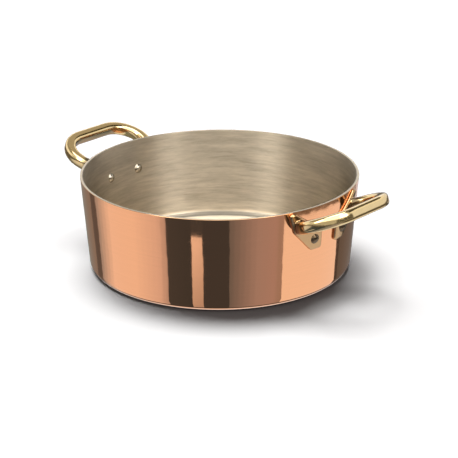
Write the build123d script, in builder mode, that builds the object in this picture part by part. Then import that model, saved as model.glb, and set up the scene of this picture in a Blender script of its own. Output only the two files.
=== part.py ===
"""Round two-handled copper pan with a steel lining and riveted brass loop handles.

Millimetres. The origin is the middle of the underside, +Z is up, and the two
handles stand out along +X and -X.
"""
import os
from math import atan2, cos, degrees, radians, sin

from build123d import *

os.makedirs("parts", exist_ok=True)

# Pan body
rim_diameter = 280
base_diameter = 264.4  # the wall's outside, carried down to the table
pan_height = 97
copper_thickness = 2.2
lining_thickness = 0.4
base_corner_radius = 9
rim_edge_radius = 0.5

# Loop of each handle, measured on the middle line of its bar
grip_reach = 54.2
loop_half_width = 48
bend_share = 0.52  # radius of each bend, of the loop's reach
arm_splay_angle = 40
handle_tilt = 22
root_depth = 17.7  # below the rim, where the loop's plane meets the wall
root_setback = 7.7  # how far inside the wall's skin the loop is measured from
bar_width = 11
bar_height = 12
bar_edge_radius = 3.2
root_width = 15
root_height = 15
root_edge_radius = 4.2
flare_share = 0.8  # of the arm's straight part

# Foot plate of each arm: reaches run round the wall from the handle's middle
# and depths down from the rim
foot_thickness = 3.4
foot_bevel = 1.4
foot_corner_radius = 3
foot_rim_gap = 1
foot_outer_reach = 52
foot_top_width = 7
foot_shoulder_reach = 45
foot_shoulder_depth = 22
foot_toe_reach = 24
foot_toe_width = 13.5
foot_heel_depth = 24
foot_depth = 43.5

# Rivets, one through each foot
rivet_spacing = 42
rivet_depth = 31.5  # below the rim
rivet_shank_diameter = 6
rivet_head_diameter = 10
rivet_head_height = 2.6
rivet_hole_clearance = 0.1

# Room for the cuts to run past what they cut
overrun = 30

rim_radius = rim_diameter / 2
base_radius = base_diameter / 2
wall_thickness = copper_thickness + lining_thickness
wall_slope = atan2(rim_radius - base_radius, pan_height)


def wall_radius(height):
    """Outside radius of the wall at a height above the table."""
    return base_radius + (rim_radius - base_radius) * height / pan_height


def pan_outline(inset, mode=Mode.ADD):
    """Half of the pan's solid outline, drawn this far inside its outer skin."""
    side_inset = inset / cos(wall_slope)
    corner = (wall_radius(inset) - side_inset, inset)
    lip = (rim_radius - side_inset, pan_height)
    with BuildLine() as outline:
        skin = FilletPolyline((0, inset), corner, lip, radius=base_corner_radius - inset)
        Polyline(skin @ 1, (0, pan_height), skin @ 0)
    make_face(outline.edges(), mode=mode)


def layer_profile(outer_inset, inner_inset):
    """Cross-section of one even layer of the pan, or of what lies on its wall."""
    with BuildSketch(Plane.XZ) as profile:
        pan_outline(outer_inset)
        pan_outline(inner_inset, mode=Mode.SUBTRACT)
    return profile.sketch


# A rivet's axis runs square to the wall, through the middle of its foot
rivet_level = pan_height - rivet_depth
rivet_angle = degrees(atan2(rivet_spacing / 2, wall_radius(rivet_level)))
rivet_axis_plane = Plane(
    origin=(wall_radius(rivet_level), 0, rivet_level),
    x_dir=(0, 1, 0),
    z_dir=(cos(wall_slope), 0, -sin(wall_slope)),
)
rivet_turns = {
    "right_front": -rivet_angle,
    "right_back": rivet_angle,
    "left_back": 180 - rivet_angle,
    "left_front": 180 + rivet_angle,
}

with BuildPart() as rivet_hole:
    with BuildSketch(rivet_axis_plane):
        Circle(rivet_shank_diameter / 2 + rivet_hole_clearance)
    extrude(amount=overrun, both=True)


def drill_rivet_holes(turns):
    """Cut a rivet hole at each of these turns in the part being built."""
    for turn in turns:
        add(rivet_hole.part, rotation=(0, 0, turn), mode=Mode.SUBTRACT)


# Copper shell: one even sheet, with the lip's outer edge eased
with BuildPart() as copper_shell:
    add(layer_profile(0, copper_thickness))
    revolve(axis=Axis.Z)
    rim_edges = copper_shell.edges().filter_by(GeomType.CIRCLE).group_by(Axis.Z)[-1]
    fillet(rim_edges.sort_by(SortBy.RADIUS)[-1], radius=rim_edge_radius)
    drill_rivet_holes(rivet_turns.values())
copper_shell.part.label = "copper_shell"
export_step(copper_shell.part, "parts/copper_shell.step")

# Lining: the thin sheet bonded to the inside of the copper, up to the lip
with BuildPart() as lining:
    add(layer_profile(copper_thickness, wall_thickness))
    revolve(axis=Axis.Z)
    drill_rivet_holes(rivet_turns.values())
lining.part.label = "lining"
export_step(lining.part, "parts/lining.step")

# Where the loop's bar runs: in one tilted plane, out along a splayed arm, round
# a bend and along the straight grip to its middle
tilt = radians(handle_tilt)
splay = radians(arm_splay_angle)
root_level = pan_height - root_depth
loop_plane = Plane(
    origin=(wall_radius(root_level) - root_setback, 0, root_level),
    x_dir=(cos(tilt), 0, sin(tilt)),
    z_dir=(-sin(tilt), 0, cos(tilt)),
)
bend_radius = bend_share * grip_reach
bend_centre = (grip_reach - bend_radius, loop_half_width - bend_radius)
arm_end = (
    bend_centre[0] - bend_radius * sin(splay),
    bend_centre[1] + bend_radius * cos(splay),
)
arm_length = arm_end[0] / cos(splay)
flare_length = flare_share * arm_length
with BuildLine(loop_plane) as half_loop:
    bend = JernArc(
        arm_end, (cos(splay), sin(splay)), bend_radius, -90 - arm_splay_angle
    )
    Line(bend @ 1, (grip_reach, 0))
bar_path = half_loop.wire()
arm_direction = bar_path % 0


def arm_section(back, width, height, edge_radius):
    """Sketch the arm's section this far back from its bend."""
    section_plane = Plane(
        origin=bar_path @ 0 - arm_direction * back,
        x_dir=loop_plane.z_dir,
        z_dir=arm_direction,
    )
    with BuildSketch(section_plane) as section:
        RectangleRounded(height, width, edge_radius)
    return section.sketch


bar_start = arm_section(0, bar_width, bar_height, bar_edge_radius)
flare_start = arm_section(arm_length - flare_length, bar_width, bar_height, bar_edge_radius)
flare_end = arm_section(arm_length, root_width, root_height, root_edge_radius)

# Each foot is drawn square to the wall at its own middle
foot_mid_reach = (foot_outer_reach + foot_toe_reach - foot_toe_width) / 2
foot_mid_level = pan_height - (foot_rim_gap + foot_depth) / 2
foot_turn = foot_mid_reach / wall_radius(foot_mid_level)
foot_outward = Vector(cos(foot_turn), sin(foot_turn), 0)
foot_plane = Plane(
    origin=foot_outward * wall_radius(foot_mid_level) + Vector(0, 0, foot_mid_level),
    x_dir=(-sin(foot_turn), cos(foot_turn), 0),
    z_dir=foot_outward * cos(wall_slope) - Vector(0, 0, sin(wall_slope)),
)


def foot_point(reach, depth):
    """A point of the foot's outline, on the plane that it is drawn on."""
    return (reach - foot_mid_reach, pan_height - depth - foot_mid_level)


# Handle: one brass casting, half of it made and mirrored
with BuildPart() as handle_casting:
    # The foot, its outer face an even distance off the wall and bevelled all round
    with BuildSketch(foot_plane) as foot_outline:
        with BuildLine():
            Polyline(
                foot_point(foot_outer_reach, foot_rim_gap),
                foot_point(foot_outer_reach - foot_top_width, foot_rim_gap),
                foot_point(foot_toe_reach - foot_toe_width, foot_heel_depth),
                foot_point(foot_toe_reach - foot_toe_width, foot_depth),
                foot_point(foot_toe_reach, foot_depth),
                foot_point(foot_shoulder_reach, foot_shoulder_depth),
                close=True,
            )
        make_face()
        fillet(foot_outline.vertices(), radius=foot_corner_radius)
    extrude(amount=foot_depth, both=True)
    with BuildSketch(Plane.XZ):
        pan_outline(-foot_thickness)
    revolve(axis=Axis.Z, mode=Mode.INTERSECT)
    round_faces = handle_casting.faces().filter_by(GeomType.CONE)
    foot_face = round_faces.sort_by(Axis((0, 0, 0), foot_outward))[-1]
    chamfer(foot_face.edges(), length=foot_bevel)

    # The bar, round its bend to the middle of the grip
    add(bar_start)
    sweep(path=bar_path)

    # The arm, straight and then flared, carried on past the wall
    add(bar_start)
    extrude(amount=arm_length - flare_length, dir=-arm_direction)
    add(flare_start)
    add(flare_end)
    loft(ruled=True)
    add(flare_end)
    extrude(amount=overrun, dir=-arm_direction)

    # Its back is the wall's own skin
    with BuildSketch(Plane.XZ):
        pan_outline(0)
    revolve(axis=Axis.Z, mode=Mode.SUBTRACT)
    drill_rivet_holes([rivet_angle])
    mirror(about=Plane.XZ)

for side, turn in (("right", 0), ("left", 180)):
    with BuildPart() as handle:
        add(handle_casting.part, rotation=(0, 0, turn))
    handle.part.label = f"handle_{side}"
    export_step(handle.part, f"parts/handle_{side}.step")

# Rivet: a domed head on each side, hammered down on the foot and on the lining
head_radius = rivet_head_diameter / 2
head_angle = 2 * degrees(atan2(rivet_head_height, head_radius))
dome_radius = head_radius / sin(radians(head_angle))
rivet_profile_plane = Plane(
    origin=rivet_axis_plane.origin,
    x_dir=rivet_axis_plane.x_dir,
    z_dir=(-sin(wall_slope), 0, -cos(wall_slope)),
)
with BuildPart() as rivet_blank:
    with BuildSketch(rivet_profile_plane):
        for seat, outward in ((foot_thickness, 1), (-wall_thickness, -1)):
            crown = seat + outward * rivet_head_height
            skirt = seat - outward * lining_thickness
            with BuildLine():
                dome = JernArc((0, crown), (1, 0), dome_radius, -outward * head_angle)
                Polyline(dome @ 1, (head_radius, skirt), (0, skirt), (0, crown))
            make_face()
    revolve(axis=Axis(rivet_axis_plane.origin, rivet_axis_plane.z_dir))
    add(layer_profile(-foot_thickness, wall_thickness))
    revolve(axis=Axis.Z, mode=Mode.SUBTRACT)
    with BuildSketch(rivet_axis_plane.offset(-wall_thickness - rivet_head_height / 2)):
        Circle(rivet_shank_diameter / 2)
    extrude(amount=wall_thickness + foot_thickness + rivet_head_height)

for name, turn in rivet_turns.items():
    with BuildPart() as rivet:
        add(rivet_blank.part, rotation=(0, 0, turn))
    rivet.part.label = f"rivet_{name}"
    export_step(rivet.part, f"parts/rivet_{name}.step")
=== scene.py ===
"""Dresses the two-handled pan: spun copper, brushed lining, cast brass handles, rivets, studio."""

from math import atan2, cos, pi, radians, sin, tan

import bmesh
import bpy
import numpy as np
from bpy.props import FloatProperty, FloatVectorProperty, IntProperty, PointerProperty
from mathutils import Matrix, Vector


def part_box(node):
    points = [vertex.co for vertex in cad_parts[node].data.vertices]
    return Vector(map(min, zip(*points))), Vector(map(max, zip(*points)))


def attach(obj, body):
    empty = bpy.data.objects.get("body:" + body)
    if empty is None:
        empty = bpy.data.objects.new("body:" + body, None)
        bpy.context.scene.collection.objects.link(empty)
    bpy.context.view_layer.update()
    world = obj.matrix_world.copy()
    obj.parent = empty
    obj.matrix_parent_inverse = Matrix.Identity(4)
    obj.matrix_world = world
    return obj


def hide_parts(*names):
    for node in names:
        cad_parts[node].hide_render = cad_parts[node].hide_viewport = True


bl_info = {
    "name": "Two-handled copper pan",
    "version": (1, 0, 0),
    "blender": (4, 5, 0),
    "location": "3D View > Sidebar > Pan",
    "description": "Makes the surfaces, fittings and studio of a riveted copper pan",
    "category": "Object",
}

MM = 0.001
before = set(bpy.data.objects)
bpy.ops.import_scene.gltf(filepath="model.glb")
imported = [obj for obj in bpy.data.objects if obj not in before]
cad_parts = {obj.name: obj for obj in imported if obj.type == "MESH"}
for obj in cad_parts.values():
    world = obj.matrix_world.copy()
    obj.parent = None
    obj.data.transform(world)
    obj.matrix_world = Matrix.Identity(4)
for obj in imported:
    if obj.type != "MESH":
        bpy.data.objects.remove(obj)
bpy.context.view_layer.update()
_, SHELL_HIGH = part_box("copper_shell")


def linear_colour(hex_code):
    """An sRGB hex colour as linear red, green and blue."""
    shares = [int(hex_code[i : i + 2], 16) / 255 for i in (1, 3, 5)]
    return tuple(s / 12.92 if s <= 0.04045 else ((s + 0.055) / 1.055) ** 2.4 for s in shares)


def wall_flare(sizes):
    """How much wider the wall is at the lip than at the table."""
    return sizes.rim_radius - sizes.base_radius


def wall_lean(sizes):
    """Angle between the wall and the upright."""
    return atan2(wall_flare(sizes), sizes.height)


def wall_radius(sizes, height):
    """Outside radius of the wall at a height, or at each of many heights."""
    return sizes.base_radius + wall_flare(sizes) * height / sizes.height


class PanSizes(bpy.types.PropertyGroup):
    """Sizes of the pan's spun sheets."""

    rim_radius: FloatProperty(
        name="Rim radius", description="Outside radius at the lip", default=140 * MM, unit="LENGTH"
    )
    base_radius: FloatProperty(
        name="Base radius",
        description="Radius where the wall's outside, carried down, meets the table",
        default=132.2 * MM,
        unit="LENGTH",
    )
    height: FloatProperty(
        name="Height", description="Table to lip", default=SHELL_HIGH.z, unit="LENGTH"
    )
    copper: FloatProperty(
        name="Copper", description="Thickness of the copper", default=2.2 * MM, unit="LENGTH"
    )
    lining: FloatProperty(
        name="Lining", description="Thickness of the lining", default=0.4 * MM, unit="LENGTH"
    )
    corner_radius: FloatProperty(
        name="Corner radius", description="Bend from base to wall", default=9 * MM, unit="LENGTH"
    )
    lip_radius: FloatProperty(
        name="Lip radius", description="Easing of the lip's outer edge", default=0.5 * MM, unit="LENGTH"
    )
    steps_around: IntProperty(
        name="Steps around", description="Facets round the pan", default=288, min=24
    )


class CastingSizes(bpy.types.PropertyGroup):
    """How finely the cast handles are dressed."""

    grain: FloatProperty(
        name="Grain", description="Mesh size of the casting", default=0.45 * MM, unit="LENGTH"
    )
    polish_rounds: IntProperty(
        name="Polish", description="Rounds of smoothing that ease every edge", default=10
    )
    grip_rounds: IntProperty(
        name="Grip", description="Further rounds on the bar, clear of the wall", default=70
    )
    grip_fill: FloatProperty(
        name="Grip fill",
        description="Thickness given back to the bar after its rounds",
        default=0.3 * MM,
        unit="LENGTH",
    )
    fillet_rounds: IntProperty(
        name="Fillets", description="Rounds of filling that round the inner corners", default=40
    )


class RivetSizes(bpy.types.PropertyGroup):
    """Sizes of the rivets."""

    head_radius: FloatProperty(
        name="Head radius", description="Radius of each head", default=5 * MM, unit="LENGTH"
    )
    head_height: FloatProperty(
        name="Head height", description="Crown above its seat", default=2.6 * MM, unit="LENGTH"
    )
    shank_radius: FloatProperty(
        name="Shank radius", description="Radius of the shank", default=3 * MM, unit="LENGTH"
    )
    foot_thickness: FloatProperty(
        name="Foot thickness", description="Outer seat, off the wall", default=3.4 * MM, unit="LENGTH"
    )


class Finishes(bpy.types.PropertyGroup):
    """Colours of the metals."""

    copper: FloatVectorProperty(
        name="Copper", description="Polished copper", default=linear_colour("#F7B588"), subtype="COLOR"
    )
    lining: FloatVectorProperty(
        name="Lining", description="Brushed lining", default=linear_colour("#E4D9C8"), subtype="COLOR"
    )
    brass: FloatVectorProperty(
        name="Brass", description="Polished brass", default=linear_colour("#E6CC9A"), subtype="COLOR"
    )
    rivet: FloatVectorProperty(
        name="Rivets", description="Rivet steel", default=linear_colour("#B5AC9E"), subtype="COLOR"
    )
    # Painted highlight colour for the top of the lip
    lip_highlight_colour: FloatVectorProperty(
        name="Lip", description="Worn edge of the lip", default=linear_colour("#A2957D"), subtype="COLOR"
    )
    # Painted shade on the rivet heads outside the wall
    outer_head_painted_shade: FloatVectorProperty(
        name="Outer heads",
        description="Rivet heads outside the wall, stained by polish",
        default=linear_colour("#6A5A48"),
        subtype="COLOR",
    )


class StudioSizes(bpy.types.PropertyGroup):
    """Camera, lamps and floor."""

    camera_distance: FloatProperty(
        name="Distance", description="Camera to the base's middle", default=1.8, unit="LENGTH"
    )
    camera_turn: FloatProperty(
        name="Turn", description="Camera's turn round the pan", default=radians(41.3), subtype="ANGLE"
    )
    camera_rise: FloatProperty(
        name="Rise", description="Camera's angle above the floor", default=radians(21.78), subtype="ANGLE"
    )
    camera_roll: FloatProperty(
        name="Roll", description="Camera's turn about its own axis", default=radians(-0.28), subtype="ANGLE"
    )
    aim_right: FloatProperty(
        name="Aim right", description="Aim, right of the base's middle", default=9.22 * MM, unit="LENGTH"
    )
    aim_up: FloatProperty(
        name="Aim up", description="Aim, above the base's middle", default=32.7 * MM, unit="LENGTH"
    )
    lens: FloatProperty(name="Lens", description="Focal length in mm", default=138.1)
    lamp_strength: FloatProperty(name="Lamp", description="Strength of each lamp", default=0.5 * pi)
    lamp_spread: FloatProperty(
        name="Spread", description="How wide the lamp looks from the pan", default=0.52, subtype="ANGLE"
    )
    ambient: FloatProperty(name="Ambient", description="Strength of the fill light", default=0.12)


def add_node(tree, kind, inputs=(), **settings):
    """Add one node, make its settings, and fill or link its inputs."""
    node = tree.nodes.new(kind)
    for name, value in settings.items():
        setattr(node, name, value)
    for key, value in dict(inputs).items():
        if isinstance(value, bpy.types.NodeSocket):
            tree.links.new(value, node.inputs[key])
        else:
            node.inputs[key].default_value = value
    return node


def new_tree(name, inputs):
    """A Geometry Nodes tree with its named inputs and one mesh output."""
    tree = bpy.data.node_groups.new(name, "GeometryNodeTree")
    for label, kind, default in inputs:
        socket = tree.interface.new_socket(name=label, in_out="INPUT", socket_type=kind)
        if default is not None:
            socket.default_value = default
    tree.interface.new_socket(name="Mesh", in_out="OUTPUT", socket_type="NodeSocketGeometry")
    given = add_node(tree, "NodeGroupInput").outputs
    return tree, given


def finish_tree(tree, mesh, material):
    """End a tree in real geometry with its material."""
    real = add_node(tree, "GeometryNodeRealizeInstances", {"Geometry": mesh})
    painted = add_node(
        tree, "GeometryNodeSetMaterial", {"Geometry": real.outputs[0], "Material": material}
    )
    add_node(tree, "NodeGroupOutput", {"Mesh": painted.outputs[0]})


SPIN_INPUTS = [
    ("Section", "NodeSocketGeometry", None),
    ("Steps around", "NodeSocketInt", 288),
    ("Steps per bend", "NodeSocketInt", 8),
]


def spinning_group():
    """Bends a section's corners to their radii and spins it once round Z, closed at seam and poles."""
    tree, given = new_tree("spin_section", SPIN_INPUTS)
    chain = add_node(tree, "GeometryNodeMeshToCurve", {"Mesh": given["Section"]})
    bend = add_node(
        tree, "GeometryNodeInputNamedAttribute", {"Name": "bend_radius"}, data_type="FLOAT"
    )
    section = add_node(
        tree,
        "GeometryNodeFilletCurve",
        {
            "Curve": chain.outputs[0],
            "Count": given["Steps per bend"],
            "Radius": bend.outputs["Attribute"],
            "Limit Radius": True,
        },
        mode="POLY",
    )
    size = add_node(
        tree, "GeometryNodeAttributeDomainSize", {"Geometry": section.outputs[0]}, component="CURVE"
    )
    rows = add_node(
        tree, "FunctionNodeIntegerMath", {0: given["Steps around"], 1: 1}, operation="ADD"
    )
    grid = add_node(
        tree,
        "GeometryNodeMeshGrid",
        {"Vertices X": size.outputs["Point Count"], "Vertices Y": rows.outputs[0]},
    )
    index = add_node(tree, "GeometryNodeInputIndex")
    along = add_node(
        tree,
        "FunctionNodeIntegerMath",
        {0: index.outputs[0], 1: rows.outputs[0]},
        operation="DIVIDE_FLOOR",
    )
    around = add_node(
        tree,
        "FunctionNodeIntegerMath",
        {0: index.outputs[0], 1: rows.outputs[0]},
        operation="MODULO",
    )
    place = add_node(tree, "GeometryNodeInputPosition")
    corner = add_node(
        tree,
        "GeometryNodeSampleIndex",
        {"Geometry": section.outputs[0], "Value": place.outputs[0], "Index": along.outputs[0]},
        data_type="FLOAT_VECTOR",
    )
    share = add_node(
        tree, "ShaderNodeMath", {0: around.outputs[0], 1: given["Steps around"]}, operation="DIVIDE"
    )
    angle = add_node(tree, "ShaderNodeMath", {0: share.outputs[0], 1: 2 * pi}, operation="MULTIPLY")
    turned = add_node(
        tree,
        "ShaderNodeVectorRotate",
        {"Vector": corner.outputs[0], "Angle": angle.outputs[0]},
        rotation_type="Z_AXIS",
    )
    spun = add_node(
        tree,
        "GeometryNodeSetPosition",
        {"Geometry": grid.outputs["Mesh"], "Position": turned.outputs[0]},
    )
    mapped = add_node(
        tree,
        "GeometryNodeStoreNamedAttribute",
        {"Geometry": spun.outputs[0], "Name": "UVMap", "Value": grid.outputs["UV Map"]},
        data_type="FLOAT2",
        domain="CORNER",
    )
    closed = add_node(
        tree, "GeometryNodeMergeByDistance", {"Geometry": mapped.outputs[0], "Distance": 1e-6}
    )
    add_node(tree, "NodeGroupOutput", {"Mesh": closed.outputs[0]})
    return tree


def sheet_tree(spinning):
    """A spun sheet: its section, bent and spun, in one material."""
    tree, given = new_tree("spun_sheet", SPIN_INPUTS + [("Material", "NodeSocketMaterial", None)])
    values = {label: given[label] for label, *_ in SPIN_INPUTS}
    spun = add_node(tree, "GeometryNodeGroup", values, node_tree=spinning)
    finish_tree(tree, spun.outputs[0], given["Material"])
    return tree


def rivet_tree(spinning):
    """The rivets: one spun rivet set at each seat, square to the leaning wall."""
    tree, given = new_tree(
        "rivets_round_the_wall",
        SPIN_INPUTS
        + [
            ("Seats", "NodeSocketObject", None),
            ("Wall lean", "NodeSocketFloat", 0.08),
            ("Material", "NodeSocketMaterial", None),
        ],
    )
    values = {label: given[label] for label, *_ in SPIN_INPUTS}
    spun = add_node(tree, "GeometryNodeGroup", values, node_tree=spinning)
    seats = add_node(tree, "GeometryNodeObjectInfo", {"Object": given["Seats"]})
    place = add_node(tree, "GeometryNodeInputPosition")
    parts = add_node(tree, "ShaderNodeSeparateXYZ", {"Vector": place.outputs[0]})
    turn = add_node(
        tree, "ShaderNodeMath", {0: parts.outputs["Y"], 1: parts.outputs["X"]}, operation="ARCTAN2"
    )
    tip = add_node(
        tree, "ShaderNodeMath", {0: given["Wall lean"], 1: pi / 2}, operation="ADD"
    )
    angles = add_node(tree, "ShaderNodeCombineXYZ", {"Y": tip.outputs[0], "Z": turn.outputs[0]})
    rotation = add_node(tree, "FunctionNodeEulerToRotation", {"Euler": angles.outputs[0]})
    placed = add_node(
        tree,
        "GeometryNodeInstanceOnPoints",
        {
            "Points": seats.outputs["Geometry"],
            "Instance": spun.outputs[0],
            "Rotation": rotation.outputs[0],
        },
    )
    finish_tree(tree, placed.outputs[0], given["Material"])
    return tree


def section_object(name, corners):
    """A section in the XZ plane as a chain of corners: (radius, height, bend radius) each."""
    mesh = bpy.data.meshes.new(name)
    places = [(radius, 0, height) for radius, height, _ in corners]
    mesh.from_pydata(places, [(i, i + 1) for i in range(len(places) - 1)], [])
    bend = mesh.attributes.new("bend_radius", "FLOAT", "POINT")
    bend.data.foreach_set("value", [bend_radius for _, _, bend_radius in corners])
    return bpy.data.objects.new(name, mesh)


def plain_mesh(source):
    """The object's finished mesh, with its modifiers worked in."""
    depsgraph = bpy.context.evaluated_depsgraph_get()
    mesh = bpy.data.meshes.new_from_object(source.evaluated_get(depsgraph), depsgraph=depsgraph)
    source.modifiers.clear()
    source.data = mesh
    return mesh


def grow(piece, tree, values):
    """Run a Geometry Nodes tree on the piece with these named inputs, and keep the plain result."""
    bpy.context.scene.collection.objects.link(piece)
    modifier = piece.modifiers.new(tree.name, "NODES")
    modifier.node_group = tree
    sockets = {item.name: item.identifier for item in tree.interface.items_tree if item.in_out == "INPUT"}
    for label, value in values.items():
        modifier[sockets[label]] = value
    mesh = plain_mesh(piece)
    if not mesh.polygons:
        raise RuntimeError(f"{piece.name} came out empty")
    work = bmesh.new()
    work.from_mesh(mesh)
    bmesh.ops.recalc_face_normals(work, faces=work.faces)
    for face in work.faces:
        face.smooth = True
    work.to_mesh(mesh)
    work.free()
    even_normals(piece)


def even_normals(piece):
    """Let each large face keep its own shading beside narrow bends."""
    modifier = piece.modifiers.new("even_normals", "WEIGHTED_NORMAL")
    modifier.mode = "FACE_AREA"
    modifier.weight = 100
    plain_mesh(piece)


def seat_piece(piece, slot, *nodes):
    """Let the piece ride with the pan in place of these solids."""
    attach(piece, "root")
    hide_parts(*nodes)


def new_material(name):
    """A material with its nodes cleared, and its tree."""
    material = bpy.data.materials.new(name)
    material.use_nodes = True
    material.node_tree.nodes.clear()
    return material, material.node_tree


def finish_metal(tree, inputs):
    """End a material's tree in bare metal with these inputs."""
    shader = add_node(tree, "ShaderNodeBsdfPrincipled", {"Metallic": 1.0, **inputs})
    add_node(tree, "ShaderNodeOutputMaterial", {"Surface": shader.outputs[0]})


def pan_coordinates(tree):
    """Where a point lies: its place, its place on the plan, its distance from the axis, its height."""
    place = add_node(tree, "ShaderNodeTexCoord").outputs["Object"]
    parts = add_node(tree, "ShaderNodeSeparateXYZ", {"Vector": place})
    plan = add_node(tree, "ShaderNodeCombineXYZ", {"X": parts.outputs["X"], "Y": parts.outputs["Y"]})
    radius = add_node(tree, "ShaderNodeVectorMath", {0: plan.outputs[0]}, operation="LENGTH")
    return place, plan.outputs[0], radius.outputs["Value"], parts.outputs["Z"]


def brushing_coordinates(tree, plan, radius, height, spacing, length):
    """Coordinates that turn noise into fine marks round the pan: close together up the wall and
    across the base, long round the axis."""
    along = add_node(tree, "ShaderNodeMath", {0: radius, 1: height}, operation="ADD")
    marks = add_node(tree, "ShaderNodeMath", {0: along.outputs[0], 1: 1 / spacing}, operation="MULTIPLY")
    across = add_node(tree, "ShaderNodeCombineXYZ", {"Z": marks.outputs[0]})
    around = add_node(tree, "ShaderNodeVectorMath", {0: plan, "Scale": 1 / length}, operation="SCALE")
    return add_node(
        tree, "ShaderNodeVectorMath", {0: around.outputs[0], 1: across.outputs[0]}, operation="ADD"
    ).outputs[0]


# Height of the lip's top, painted grey-brown as a painted highlight colour
LIP_HIGHLIGHT_DEPTH = 0.5 * MM

# Painted reflections in the lining's colour by height above the table, in mm: a painted highlight on
# its floor, a painted dark reflection in the bend and a painted highlight line above it
BEND_SPAN = 20
PAINTED_BEND_LIGHT = [
    (0, (1.3, 1.3, 1.3)),
    (2.8, (1.3, 1.3, 1.3)),
    (3.4, (0.25, 0.25, 0.25)),
    (6.2, (0.4, 0.4, 0.4)),
    (7.4, (1.25, 1.25, 1.25)),
    (8.8, (1.25, 1.25, 1.25)),
    (10.2, (0.9, 0.9, 0.9)),
    (BEND_SPAN, (0.86, 0.86, 0.86)),
]

# Up to here the lining is flat floor, and from here on it bends; the floor's added roughness
FLOOR_TOP = 2.7 * MM
BEND_START = 3.2 * MM
FLOOR_DULLNESS = 0.4

# Painted light on the brass by distance off the wall, in mm: the feet darker and redder as a painted
# dark reflection, painted shade in the corners at the arms' roots, and the bar plain
FOOT_SHADE_SPAN = 14.5
FOOT_PAINTED_SHADE = [
    (0, (0.7, 0.58, 0.56)),
    (3.5, (0.7, 0.58, 0.56)),
    (4.4, (0.2, 0.19, 0.2)),
    (11, (0.3, 0.3, 0.32)),
    (FOOT_SHADE_SPAN, (1, 1, 1)),
]

# Distances from the axis, either side of the wall, between which a rivet head turns from plain steel to
# painted shade
HEAD_SHADE_START = 136 * MM
HEAD_SHADE_END = 138 * MM


def mottled(tree, noise, colour, darkest):
    """The colour, darkened to this share where the noise is low."""
    dark = [channel * darkest for channel in colour]
    return add_node(
        tree, "ShaderNodeMixRGB", {"Fac": noise, "Color1": (*dark, 1), "Color2": (*colour, 1)}
    ).outputs[0]


def uneven_roughness(tree, noise, low, high):
    """A roughness that follows the noise's middle range between these two values."""
    return add_node(
        tree,
        "ShaderNodeMapRange",
        {"Value": noise, "From Min": 0.3, "From Max": 0.7, "To Min": low, "To Max": high},
    ).outputs[0]


def tinted(tree, tone, length, span, tints):
    """The tone, tinted by a length: (length, tint) pairs in mm, from nought to the span."""
    share = add_node(
        tree, "ShaderNodeMapRange", {"Value": length, "From Min": 0.0, "From Max": span * MM}
    )
    ramp = add_node(tree, "ShaderNodeValToRGB", {"Fac": share.outputs[0]})
    stops = ramp.color_ramp.elements
    for place, tint in tints[1:-1]:
        stops.new(place / span).color = (*tint, 1)
    stops[0].color = (*tints[0][1], 1)
    stops[-1].color = (*tints[-1][1], 1)
    return add_node(
        tree,
        "ShaderNodeMixRGB",
        {"Fac": 1.0, "Color1": tone, "Color2": ramp.outputs[0]},
        blend_type="MULTIPLY",
    ).outputs[0]


def polished_copper(finishes):
    """Copper, spun and polished round the axis: a clear, warm mirror whose fine marks stretch each
    reflection up and down the wall. Soft dents make the reflections' edges wander, and the top of the
    lip is painted a dull grey-brown as a painted highlight colour."""
    material, tree = new_material("polished_spun_copper")
    tangent = add_node(tree, "ShaderNodeTangent", direction_type="UV_MAP", uv_map="UVMap")
    place, plan, radius, height = pan_coordinates(tree)
    # Real polishing marks are finer than 0.1 mm; these are coarser, so that they show from here
    marks = brushing_coordinates(tree, plan, radius, height, 1.2 * MM, 60 * MM)
    noise = add_node(
        tree, "ShaderNodeTexNoise", {"Vector": marks, "Scale": 1.0, "Detail": 3.0, "Roughness": 0.6}
    )
    waves = add_node(
        tree, "ShaderNodeTexNoise", {"Vector": place, "Scale": 1 / (16 * MM), "Detail": 1.0}
    )
    dents = add_node(
        tree, "ShaderNodeBump", {"Height": waves.outputs[0], "Strength": 1.0, "Distance": 0.12 * MM}
    )
    bump = add_node(
        tree,
        "ShaderNodeBump",
        {
            "Height": noise.outputs[0],
            "Strength": 0.05,
            "Distance": 0.02 * MM,
            "Normal": dents.outputs[0],
        },
    )
    # The top of the lip is painted grey-brown as a painted highlight colour
    lip = add_node(
        tree,
        "ShaderNodeMapRange",
        {"Value": height, "From Min": SHELL_HIGH.z - LIP_HIGHLIGHT_DEPTH, "From Max": SHELL_HIGH.z},
    )
    retinted = add_node(
        tree,
        "ShaderNodeMixRGB",
        {
            "Fac": lip.outputs[0],
            "Color1": mottled(tree, noise.outputs[0], finishes.copper, 0.93),
            "Color2": (*finishes.lip_highlight_colour, 1),
        },
    )
    finish_metal(
        tree,
        {
            "Base Color": retinted.outputs[0],
            "Roughness": uneven_roughness(tree, noise.outputs[0], 0.05, 0.09),
            "Anisotropic": 0.3,
            "Normal": bump.outputs[0],
            "Tangent": tangent.outputs[0],
        },
    )
    return material


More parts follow.
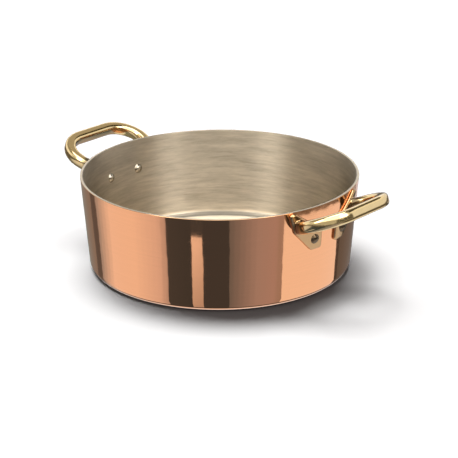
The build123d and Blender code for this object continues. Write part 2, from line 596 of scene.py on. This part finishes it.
def brushed_lining(finishes):
    """Stainless steel, brushed round the axis: a soft grey that breaks light into broad upright bands
    and fine level lines. Where floor and wall meet, painted reflections sit in the colour: a painted
    highlight on the floor, a painted dark reflection in the bend and a painted highlight line above it.
    The floor itself is duller."""
    material, tree = new_material("brushed_stainless_lining")
    tangent = add_node(tree, "ShaderNodeTangent", direction_type="UV_MAP", uv_map="UVMap")
    _, plan, radius, height = pan_coordinates(tree)
    # Real brush marks are about 0.2 mm apart; these are coarser, so that they show from here
    marks = brushing_coordinates(tree, plan, radius, height, 2.2 * MM, 55 * MM)
    noise = add_node(
        tree, "ShaderNodeTexNoise", {"Vector": marks, "Scale": 1.0, "Detail": 5.0, "Roughness": 0.75}
    )
    bump = add_node(
        tree, "ShaderNodeBump", {"Height": noise.outputs[0], "Strength": 0.6, "Distance": 0.06 * MM}
    )
    patches = add_node(
        tree,
        "ShaderNodeTexNoise",
        {
            "Vector": brushing_coordinates(tree, plan, radius, height, 6 * MM, 42 * MM),
            "Scale": 1.0,
            "Detail": 4.0,
            "Roughness": 0.7,
        },
    )
    retinted = add_node(
        tree,
        "ShaderNodeMapRange",
        {"Value": patches.outputs[0], "From Min": 0.35, "From Max": 0.65, "To Min": 0.8, "To Max": 1.07},
    )
    tone = mottled(tree, noise.outputs[0], finishes.lining, 0.6)
    # The colour takes painted reflections by height: a painted highlight on the floor, a painted dark
    # reflection in the bend and a painted highlight line above it
    shaded = add_node(
        tree,
        "ShaderNodeMixRGB",
        {
            "Fac": 1.0,
            "Color1": tinted(tree, tone, height, BEND_SPAN, PAINTED_BEND_LIGHT),
            "Color2": retinted.outputs[0],
        },
        blend_type="MULTIPLY",
    )
    dull_floor = add_node(
        tree,
        "ShaderNodeMapRange",
        {
            "Value": height,
            "From Min": FLOOR_TOP,
            "From Max": BEND_START,
            "To Min": FLOOR_DULLNESS,
            "To Max": 0.0,
        },
    )
    brushed = uneven_roughness(tree, noise.outputs[0], 0.34, 0.46)
    roughness = add_node(
        tree, "ShaderNodeMath", {0: brushed, 1: dull_floor.outputs[0]}, operation="ADD"
    )
    finish_metal(
        tree,
        {
            "Base Color": shaded.outputs[0],
            "Roughness": roughness.outputs[0],
            "Anisotropic": 0.8,
            "Normal": bump.outputs[0],
            "Tangent": tangent.outputs[0],
        },
    )
    return material


def polished_brass(finishes, sizes):
    """Brass, sand cast and polished by hand: a yellow mirror with slightly wavy faces. The feet are
    painted darker and redder as a painted dark reflection, and the corners where the arms meet them
    are painted dark as painted shade."""
    material, tree = new_material("polished_cast_brass")
    place, _, radius, height = pan_coordinates(tree)
    waves = add_node(
        tree, "ShaderNodeTexNoise", {"Vector": place, "Scale": 1 / (9 * MM), "Detail": 1.0}
    )
    # The polish's grit is finer than this on real brass; it is coarser, so that it shows from here
    grit = add_node(
        tree, "ShaderNodeTexNoise", {"Vector": place, "Scale": 1 / (1.1 * MM), "Detail": 2.0}
    )
    bump = add_node(
        tree, "ShaderNodeBump", {"Height": waves.outputs[0], "Strength": 1.0, "Distance": 0.16 * MM}
    )
    upright = add_node(
        tree,
        "ShaderNodeMath",
        {0: height, 1: -wall_flare(sizes) / sizes.height, 2: radius},
        operation="MULTIPLY_ADD",
    )
    off_wall = add_node(
        tree, "ShaderNodeMath", {0: upright.outputs[0], 1: sizes.base_radius}, operation="SUBTRACT"
    )
    tone = mottled(tree, waves.outputs[0], finishes.brass, 0.92)
    # The feet take a painted dark reflection and the arms' roots painted shade, by distance off the wall
    finish_metal(
        tree,
        {
            "Base Color": tinted(tree, tone, off_wall.outputs[0], FOOT_SHADE_SPAN, FOOT_PAINTED_SHADE),
            "Roughness": uneven_roughness(tree, grit.outputs[0], 0.1, 0.17),
            "Normal": bump.outputs[0],
        },
    )
    return material


def rivet_steel(finishes):
    """Stainless steel, headed cold and brushed: a grey dome with a small soft highlight. Outside the
    wall the heads are painted dark brown as painted shade."""
    material, tree = new_material("cold_headed_steel")
    place, _, radius, _ = pan_coordinates(tree)
    grit = add_node(
        tree, "ShaderNodeTexNoise", {"Vector": place, "Scale": 1 / (0.8 * MM), "Detail": 3.0}
    )
    # Outside the wall the heads are painted dark brown as painted shade
    outside = add_node(
        tree, "ShaderNodeMapRange", {"Value": radius, "From Min": HEAD_SHADE_START, "From Max": HEAD_SHADE_END}
    )
    shaded_heads = add_node(
        tree,
        "ShaderNodeMixRGB",
        {
            "Fac": outside.outputs[0],
            "Color1": mottled(tree, grit.outputs[0], finishes.rivet, 0.85),
            "Color2": (*finishes.outer_head_painted_shade, 1),
        },
    )
    finish_metal(
        tree,
        {
            "Base Color": shaded_heads.outputs[0],
            "Roughness": uneven_roughness(tree, grit.outputs[0], 0.2, 0.3),
        },
    )
    return material


def sheet_corners(sizes, insets, lip_radius):
    """Corners of one even sheet of the pan, between two insets from its outer skin."""
    corners = []
    for inset in insets:
        side_inset = inset / cos(wall_lean(sizes))
        corners.append(
            [
                (0, inset, 0),
                (wall_radius(sizes, inset) - side_inset, inset, sizes.corner_radius - inset),
                (sizes.rim_radius - side_inset, sizes.height, lip_radius),
            ]
        )
    outer, inner = corners
    return outer + inner[::-1]


# Easing of the lining's own edges at the lip
LINING_LIP = 0.12 * MM
STEPS_PER_BEND = 8


class PAN_OT_sheets(bpy.types.Operator):
    """Spin the copper shell and the lining"""

    bl_idname = "pan.sheets"
    bl_label = "Spin shell and lining"

    def execute(self, context):
        scene = context.scene
        sizes = scene.pan_sizes
        finishes = scene.pan_finishes
        tree = sheet_tree(spinning_group())
        wall = sizes.copper + sizes.lining
        for name, node, slot, insets, lip_radius, material in (
            (
                "copper_body",
                "copper_shell",
                "copper",
                (0, sizes.copper),
                sizes.lip_radius,
                polished_copper(finishes),
            ),
            (
                "inner_lining",
                "lining",
                "lining_steel",
                (sizes.copper, wall),
                LINING_LIP,
                brushed_lining(finishes),
            ),
        ):
            piece = section_object(name, sheet_corners(sizes, insets, lip_radius))
            grow(
                piece,
                tree,
                {
                    "Steps around": sizes.steps_around,
                    "Steps per bend": STEPS_PER_BEND,
                    "Material": material,
                },
            )
            seat_piece(piece, slot, node)
        return {"FINISHED"}


# Corners of a solid's faces that lie this close are one corner
MERGE_DISTANCE = 0.001 * MM


def casting_from(node, name, grain):
    """A copy of a cast solid with an even, fine mesh."""
    mesh = node.data.copy()
    work = bmesh.new()
    work.from_mesh(mesh)
    bmesh.ops.remove_doubles(work, verts=work.verts, dist=MERGE_DISTANCE)
    work.to_mesh(mesh)
    work.free()
    piece = bpy.data.objects.new(name, mesh)
    bpy.context.scene.collection.objects.link(piece)
    remesh = piece.modifiers.new("even_grain", "REMESH")
    remesh.mode = "VOXEL"
    remesh.voxel_size = grain
    remesh.use_smooth_shade = True
    plain_mesh(piece)
    return piece


# Each round of smoothing moves a point by this share of the way to its neighbours' middle
ROUND_SHARE = 0.5
# The bar's own rounds begin this far off the wall, and reach full strength at twice as far
BAR_CLEARANCE = 8 * MM
# An inner corner is filled at full strength where a point lies this far below its neighbours
HOLLOW_DEPTH = 0.004 * MM


def soften(mesh, sizes, casting):
    """Ease every edge of a casting a little, round its bar further, and fill its inner corners until
    they are fillets."""
    count = len(mesh.vertices)
    places = np.empty(count * 3)
    mesh.vertices.foreach_get("co", places)
    places = places.reshape(-1, 3)
    ends = np.empty(len(mesh.edges) * 2, np.int64)
    mesh.edges.foreach_get("vertices", ends)
    ends = ends.reshape(-1, 2)
    degree = np.bincount(ends.ravel(), minlength=count)[:, None]

    def pull():
        """How far each point lies from the middle of its neighbours."""
        total = np.zeros((count, 3))
        for near, far in ((0, 1), (1, 0)):
            for axis in range(3):
                total[:, axis] += np.bincount(ends[:, near], places[ends[:, far], axis], count)
        return total / degree - places

    def settle():
        """Move the mesh's points to their places, and give its new normals."""
        normals = np.empty(count * 3)
        mesh.vertices.foreach_set("co", places.ravel())
        mesh.update()
        mesh.vertices.foreach_get("normal", normals)
        return normals.reshape(-1, 3)

    for _ in range(casting.polish_rounds):
        places += ROUND_SHARE * pull()
    off_wall = np.hypot(places[:, 0], places[:, 1]) - wall_radius(sizes, places[:, 2])
    clear = np.clip(off_wall / BAR_CLEARANCE - 1, 0, 1)[:, None]
    for _ in range(casting.grip_rounds):
        places += ROUND_SHARE * clear * pull()
    places += casting.grip_fill * clear * settle()
    for _ in range(casting.fillet_rounds):
        normals = settle()
        shift = pull()
        hollow = (shift * normals).sum(1)
        share = np.clip(hollow / HOLLOW_DEPTH, 0, 1)[:, None]
        places += ROUND_SHARE * share * shift
    settle()


class PAN_OT_handles(bpy.types.Operator):
    """Dress both cast handles"""

    bl_idname = "pan.handles"
    bl_label = "Cast and polish handles"

    def execute(self, context):
        scene = context.scene
        casting = scene.pan_casting
        material = polished_brass(scene.pan_finishes, scene.pan_sizes)
        for side in ("right", "left"):
            node = f"handle_{side}"
            piece = casting_from(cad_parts[node], f"brass_{node}", casting.grain)
            soften(piece.data, scene.pan_sizes, casting)
            piece.data.materials.clear()
            piece.data.materials.append(material)
            seat_piece(piece, "brass", node)
        return {"FINISHED"}


# How far each head is let into what it is hammered down on
RIVET_SKIRT = 0.3 * MM


class PAN_OT_rivets(bpy.types.Operator):
    """Set the four rivets"""

    bl_idname = "pan.rivets"
    bl_label = "Set rivets"

    def execute(self, context):
        scene = context.scene
        sizes = scene.pan_sizes
        rivets = scene.pan_rivets
        grip = rivets.foot_thickness + sizes.copper + sizes.lining
        nodes = [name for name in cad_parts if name.startswith("rivet_")]
        middles = []
        for name in nodes:
            low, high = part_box(name)
            middles.append((low + high) / 2)
        seats = bpy.data.objects.new("rivet_seats", bpy.data.meshes.new("rivet_seats"))
        seats.data.from_pydata(middles, [], [])
        # The crown's bend reaches from the axis to the head's edge, so its corner lies where the
        # level top and the edge's slope meet
        slope = 2 * atan2(rivets.head_height, rivets.head_radius)
        dome = rivets.head_radius / sin(slope)
        shoulder = dome * tan(slope / 2)
        crown = grip / 2 + rivets.head_height
        half = [
            (0, crown, 0),
            (shoulder, crown, dome),
            (rivets.head_radius, grip / 2, 0),
            (rivets.head_radius, grip / 2 - RIVET_SKIRT, 0),
            (rivets.shank_radius, grip / 2 - RIVET_SKIRT, 0),
        ]
        other = [(radius, -height, bend) for radius, height, bend in half[::-1]]
        piece = section_object("steel_rivets", half + other)
        grow(
            piece,
            rivet_tree(spinning_group()),
            {
                "Steps around": 40,
                "Steps per bend": 10,
                "Seats": seats,
                "Wall lean": wall_lean(sizes),
                "Material": rivet_steel(scene.pan_finishes),
            },
        )
        bpy.data.objects.remove(seats)
        seat_piece(piece, "rivet_steel", *nodes)
        return {"FINISHED"}


def camera_frame(studio):
    """The camera's place, and the directions to its right and up."""
    turn, rise = studio.camera_turn, studio.camera_rise
    back = Vector((sin(turn) * cos(rise), -cos(turn) * cos(rise), sin(rise)))
    right = Vector((cos(turn), sin(turn), 0))
    return back * studio.camera_distance, right, back.cross(right)


def add_camera(studio):
    """The camera, aimed right of and above the base's middle."""
    place, right, up = camera_frame(studio)
    data = bpy.data.cameras.new("product_camera")
    data.sensor_width = 36
    data.lens = studio.lens
    camera = bpy.data.objects.new("product_camera", data)
    aim = right * studio.aim_right + up * studio.aim_up
    tilt = (aim - place).to_track_quat("-Z", "Y").to_matrix()
    roll = Matrix.Rotation(studio.camera_roll, 3, "Z")
    camera.matrix_world = Matrix.Translation(place) @ (tilt @ roll).to_4x4()
    bpy.context.scene.collection.objects.link(camera)
    bpy.context.scene.camera = camera


def seen_share(tree):
    """Shares, 1 or 0: seen by the camera; seen by it in metal or glass; seen in metal by anything."""
    path = add_node(tree, "ShaderNodeLightPath")
    shiny = add_node(
        tree,
        "ShaderNodeMath",
        {0: path.outputs["Is Glossy Ray"], 1: path.outputs["Is Transmission Ray"]},
        operation="MAXIMUM",
    )
    first = add_node(
        tree, "ShaderNodeMath", {0: path.outputs["Diffuse Depth"], 1: 0.5}, operation="LESS_THAN"
    )
    in_metal = add_node(
        tree, "ShaderNodeMath", {0: shiny.outputs[0], 1: first.outputs[0]}, operation="MULTIPLY"
    )
    return path.outputs["Is Camera Ray"], in_metal.outputs[0], shiny.outputs[0]


def add_world(ambient):
    """A white studio: white where it is seen, and a faint warm fill as a light."""
    world = bpy.data.worlds.new("white_studio")
    bpy.context.scene.world = world
    world.use_nodes = True
    tree = world.node_tree
    tree.nodes.clear()
    to_lens, in_metal, _ = seen_share(tree)
    seen = add_node(tree, "ShaderNodeMath", {0: to_lens, 1: in_metal}, operation="MAXIMUM")
    fill = add_node(
        tree, "ShaderNodeBackground", {"Color": (1, 0.86, 0.82, 1), "Strength": ambient}
    )
    white = add_node(tree, "ShaderNodeBackground", {"Color": (1, 1, 1, 1)})
    sky = add_node(
        tree,
        "ShaderNodeMixShader",
        {0: seen.outputs[0], 1: fill.outputs[0], 2: white.outputs[0]},
    )
    add_node(tree, "ShaderNodeOutputWorld", {"Surface": sky.outputs[0]})


FLOOR_RADIUS = 8
# The lens sees the paper a little whiter than white, so that the softest part of the shadow clears
PAPER_TO_LENS = (1.08, 1.08, 1.08)


def add_floor():
    """Pale studio paper: white to the lens outside the pan's shadow, and white in the metal."""
    mesh = bpy.data.meshes.new("studio_floor")
    work = bmesh.new()
    bmesh.ops.create_circle(work, cap_ends=True, radius=FLOOR_RADIUS, segments=64)
    work.to_mesh(mesh)
    work.free()
    floor = bpy.data.objects.new("studio_floor", mesh)
    bpy.context.scene.collection.objects.link(floor)
    material, tree = new_material("pale_studio_paper")
    to_lens, in_metal, shiny = seen_share(tree)
    # Light that the copper would throw back into the pan's shadow is left out
    lit = add_node(tree, "ShaderNodeBsdfDiffuse", {"Color": (0.8, 0.8, 0.8, 1)})
    unlit = add_node(tree, "ShaderNodeBsdfDiffuse", {"Color": (0, 0, 0, 1)})
    plain = add_node(tree, "ShaderNodeMixShader", {0: shiny, 1: lit.outputs[0], 2: unlit.outputs[0]})
    bright = add_node(tree, "ShaderNodeBsdfDiffuse", {"Color": (*PAPER_TO_LENS, 1)})
    white = add_node(tree, "ShaderNodeEmission", {"Color": (1, 1, 1, 1)})
    paper = add_node(
        tree, "ShaderNodeMixShader", {0: to_lens, 1: plain.outputs[0], 2: bright.outputs[0]}
    )
    surface = add_node(
        tree, "ShaderNodeMixShader", {0: in_metal, 1: paper.outputs[0], 2: white.outputs[0]}
    )
    add_node(tree, "ShaderNodeOutputMaterial", {"Surface": surface.outputs[0]})
    mesh.materials.append(material)


# Strips of card on the floor, by the turn of the wall from the camera at which they are seen:
# (first turn, last turn, nearest and furthest from the wall in mm, tone at the first turn, tone at
# the last turn, share of the tone left at the far end)
FLOOR_CARDS = [
    (-90, -66, 0, 400, (0.25, 0.27, 0.23), (0.27, 0.26, 0.24), 1),
    (-66, -60.8, 0, 400, (0.13, 0.13, 0.13), (0.13, 0.13, 0.13), 1),
    (-60.8, -51, 0, 400, (0.42, 0.44, 0.46), (0.97, 0.93, 0.92), 1),
    (-51, -38, 0, 400, (0.97, 0.93, 0.92), (0.97, 0.93, 0.92), 1),
    (-38, -26, 0, 400, (0.97, 0.93, 0.92), (0.78, 0.74, 0.78), 1),
    (-26, -21.9, 0, 400, (0.78, 0.74, 0.78), (0.48, 0.47, 0.52), 1),
    (-21.9, -11.5, 0, 400, (0.07, 0.085, 0.1), (0.058, 0.072, 0.085), 1),
    (-11.5, -7, 0, 141, (0.55, 0.53, 0.53), (0.5, 0.48, 0.48), 1.8),
    (-11.5, -7, 141, 400, (0.07, 0.085, 0.1), (0.07, 0.085, 0.1), 1),
    (-7, 3.7, 0, 400, (0.062, 0.075, 0.09), (0.062, 0.075, 0.09), 1),
    (3.7, 15, 0, 400, (0.18, 0.21, 0.25), (0.4, 0.39, 0.45), 1),
    (15, 22, 0, 400, (0.4, 0.39, 0.45), (0.44, 0.4, 0.45), 1),
    (22, 26.1, 0, 400, (0.44, 0.4, 0.45), (0.36, 0.34, 0.33), 1),
    (57.3, 59.8, 0, 400, (0.08, 0.08, 0.08), (0.08, 0.08, 0.08), 1),
    (59.8, 90, 0, 400, (0.14, 0.15, 0.15), (0.24, 0.23, 0.21), 1),
]
# The same strips behind the pan reach only this turn, so that they stay out of the front's stripes
BACK_LIMIT = 40
CARD_STEP = 2.5
CARD_LIFT = 0.3 * MM
# The camera is near, so its ray to the wall swings by this much between the pan's middle and side
RAY_SWING = radians(4.3)

# Flat rings on the floor, seen only in the metal: a dark ring as a painted shadow, standing in for the
# shade round the copper's foot, and the room beyond the cards: (inner and outer radius in mm, tone)
FLOOR_RINGS = [
    (130.3, 132.6, (0.06, 0.06, 0.06)),
    (298, 2000, (0.16, 0.14, 0.11)),
]
RING_STEPS = 96
RING_LIFT = 0.2 * MM

# Panels standing round the table: (first turn, last turn, lowest and highest angle above the
# table, tone), all in degrees but the tone
PANELS = [
    (-42, 34, 20, 58, (2.6, 2.5, 2.3)),
    (-59, -42, 20, 58, (9.0, 8.6, 7.8)),
    (34, 60, 20, 58, (6.6, 6.3, 5.75)),
    (-82, -59, 20, 58, (1.0, 1.0, 0.96)),
    (60, 75, 20, 58, (0.8, 0.8, 0.77)),
    (-82, 20, 1, 20, (0.6, 0.58, 0.5)),
    (20, 78, 1, 20, (0.16, 0.15, 0.12)),
    (75, 150, 20, 35, (1.15, 1.13, 1.07)),
    (75, 150, 35, 69, (0.1, 0.09, 0.07)),
    (-150, -82, 1, 35, (1.2, 1.17, 1.1)),
    (-150, -82, 35, 69, (0.4, 0.37, 0.3)),
    (150, 210, 30, 69, (0.5, 0.46, 0.38)),
    (160, 200, 15, 29, (1.5, 1.5, 1.5)),
    (-180, 180, 69, 90, (4.2, 4.2, 4.0)),
]
PANEL_DISTANCE = 2.2
PANEL_STEP = 10

# Lamps: (name, how far to the right and how far nearer the rim's shadow falls, in mm)
LAMPS = [
    ("left_softbox", 0, 33),
    ("right_softbox", 30, 33),
]


def ray_angle(studio, side, turn):
    """Direction in which the camera sees the table in a wall turned this far from it."""
    return studio.camera_turn - pi / 2 + side + 2 * turn + RAY_SWING * sin(turn)


def card_faces(edges):
    """Faces between each edge of a card and the next: each edge has two ends of (place, tone)."""
    return [
        (near, far, next_far, next_near)
        for (near, far), (next_near, next_far) in zip(edges, edges[1:])
    ]


def floor_card_faces(studio, foot_radius, side, card):
    """Faces of one strip, fanned out between the two lines in which the camera sees its edges."""
    first, last, nearest, furthest, first_tone, last_tone, far_share = card
    steps = max(1, round((last - first) / CARD_STEP))
    lift = Vector((0, 0, CARD_LIFT))
    edges = []
    for step in range(steps + 1):
        share = step / steps
        turn = radians(first + (last - first) * share)
        where = studio.camera_turn - pi / 2 + side + turn
        wall = Vector((cos(where), sin(where), 0)) * foot_radius + lift
        seen = ray_angle(studio, side, turn)
        outward = Vector((cos(seen), sin(seen), 0))
        tone = Vector(first_tone).lerp(Vector(last_tone), share)
        near = wall + outward * nearest * MM
        far = wall + outward * furthest * MM
        edges.append(((near, tone), (far, tone * far_share)))
    return card_faces(edges)


def panel_faces(studio, panel):
    """Faces of one standing panel."""
    first, last, low, high, tone = panel
    steps = max(1, round((last - first) / PANEL_STEP))
    edges = []
    for step in range(steps + 1):
        where = studio.camera_turn - pi / 2 + radians(first + (last - first) * step / steps)
        level = Vector((cos(where), sin(where), 0))
        ends = []
        for rise in (radians(low), radians(high)):
            place = (level * cos(rise) + Vector((0, 0, sin(rise)))) * PANEL_DISTANCE
            ends.append((place, Vector(tone)))
        edges.append(ends)
    return card_faces(edges)


def ring_faces(inner, outer, tone):
    """Faces of a flat ring on the floor."""
    edges = []
    for step in range(RING_STEPS + 1):
        angle = 2 * pi * step / RING_STEPS
        ends = []
        for radius in (inner * MM, outer * MM):
            place = Vector((radius * cos(angle), radius * sin(angle), RING_LIFT))
            ends.append((place, Vector(tone)))
        edges.append(ends)
    return card_faces(edges)


def add_cards(name, faces):
    """Matt cards that show only in the metal: they cast no shadow and the camera misses them."""
    mesh = bpy.data.meshes.new(name)
    corners = [corner for face in faces for corner in face]
    mesh.from_pydata(
        [place for place, _ in corners], [], [tuple(range(i, i + 4)) for i in range(0, len(corners), 4)]
    )
    tones = mesh.attributes.new("tone", "FLOAT_COLOR", "POINT")
    tones.data.foreach_set("color", [value for _, tone in corners for value in (*tone, 1)])
    material, tree = new_material(f"matt_{name}")
    tone = add_node(tree, "ShaderNodeAttribute", attribute_name="tone")
    _, in_metal, _ = seen_share(tree)
    glow = add_node(
        tree, "ShaderNodeEmission", {"Color": tone.outputs["Color"], "Strength": in_metal}
    )
    add_node(tree, "ShaderNodeOutputMaterial", {"Surface": glow.outputs[0]})
    mesh.materials.append(material)
    cards = bpy.data.objects.new(name, mesh)
    bpy.context.scene.collection.objects.link(cards)
    cards.visible_camera = False
    cards.visible_diffuse = False
    cards.visible_shadow = False
    cards.visible_transmission = False
    cards.visible_volume_scatter = False


def add_lamp(name, shift, spread, strength):
    """A broad, even lamp overhead, whose shadow of the rim falls this far (x, y) from under it."""
    data = bpy.data.lights.new(name, "SUN")
    data.angle = spread
    data.energy = strength
    lamp = bpy.data.objects.new(name, data)
    downward = Vector((shift.x, shift.y, -SHELL_HIGH.z))
    lamp.matrix_world = downward.to_track_quat("-Z", "Y").to_matrix().to_4x4()
    lamp.visible_glossy = False
    bpy.context.scene.collection.objects.link(lamp)


class PAN_OT_studio(bpy.types.Operator):
    """Set up the floor, lamps, cards and camera"""

    bl_idname = "pan.studio"
    bl_label = "Set up studio"

    def execute(self, context):
        scene = context.scene
        studio = scene.pan_studio
        scene.view_settings.view_transform = "Standard"
        add_world(studio.ambient)
        add_floor()
        foot = scene.pan_sizes.base_radius
        faces = [face for ring in FLOOR_RINGS for face in ring_faces(*ring)]
        for side in (0, pi):
            for card in FLOOR_CARDS:
                if side == 0 or max(abs(card[0]), abs(card[1])) < BACK_LIMIT:
                    faces += floor_card_faces(studio, foot, side, card)
        add_cards("floor_cards", faces)
        add_cards("standing_panels", [face for panel in PANELS for face in panel_faces(studio, panel)])
        place, right, _ = camera_frame(studio)
        nearer = Vector((place.x, place.y, 0)).normalized()
        for name, rightward, forward in LAMPS:
            shift = (right * rightward + nearer * forward) * MM
            add_lamp(name, shift, studio.lamp_spread, studio.lamp_strength)
        add_camera(studio)
        return {"FINISHED"}


class PAN_PT_panel(bpy.types.Panel):
    """Sizes, finishes and steps of the pan"""

    bl_idname = "PAN_PT_panel"
    bl_label = "Pan"
    bl_space_type = "VIEW_3D"
    bl_region_type = "UI"
    bl_category = "Pan"

    def draw(self, context):
        for group_name in GROUPS:
            box = self.layout.box()
            group = getattr(context.scene, group_name)
            for item in GROUPS[group_name].__annotations__:
                box.prop(group, item)
        for operator in OPERATORS:
            self.layout.operator(operator.bl_idname)


GROUPS = {
    "pan_sizes": PanSizes,
    "pan_casting": CastingSizes,
    "pan_rivets": RivetSizes,
    "pan_finishes": Finishes,
    "pan_studio": StudioSizes,
}
OPERATORS = (PAN_OT_sheets, PAN_OT_handles, PAN_OT_rivets, PAN_OT_studio)
CLASSES = (*GROUPS.values(), *OPERATORS, PAN_PT_panel)


def register():
    """Add the classes and the scene's settings."""
    for each in CLASSES:
        bpy.utils.register_class(each)
    for name, group in GROUPS.items():
        setattr(bpy.types.Scene, name, PointerProperty(type=group))


def unregister():
    """Take the settings and classes away again."""
    for name in GROUPS:
        delattr(bpy.types.Scene, name)
    for each in reversed(CLASSES):
        bpy.utils.unregister_class(each)


def main():
    """Register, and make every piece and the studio."""
    register()
    for operator in OPERATORS:
        group, action = operator.bl_idname.split(".")
        getattr(getattr(bpy.ops, group), action)()


if __name__ == "__main__":
    main()
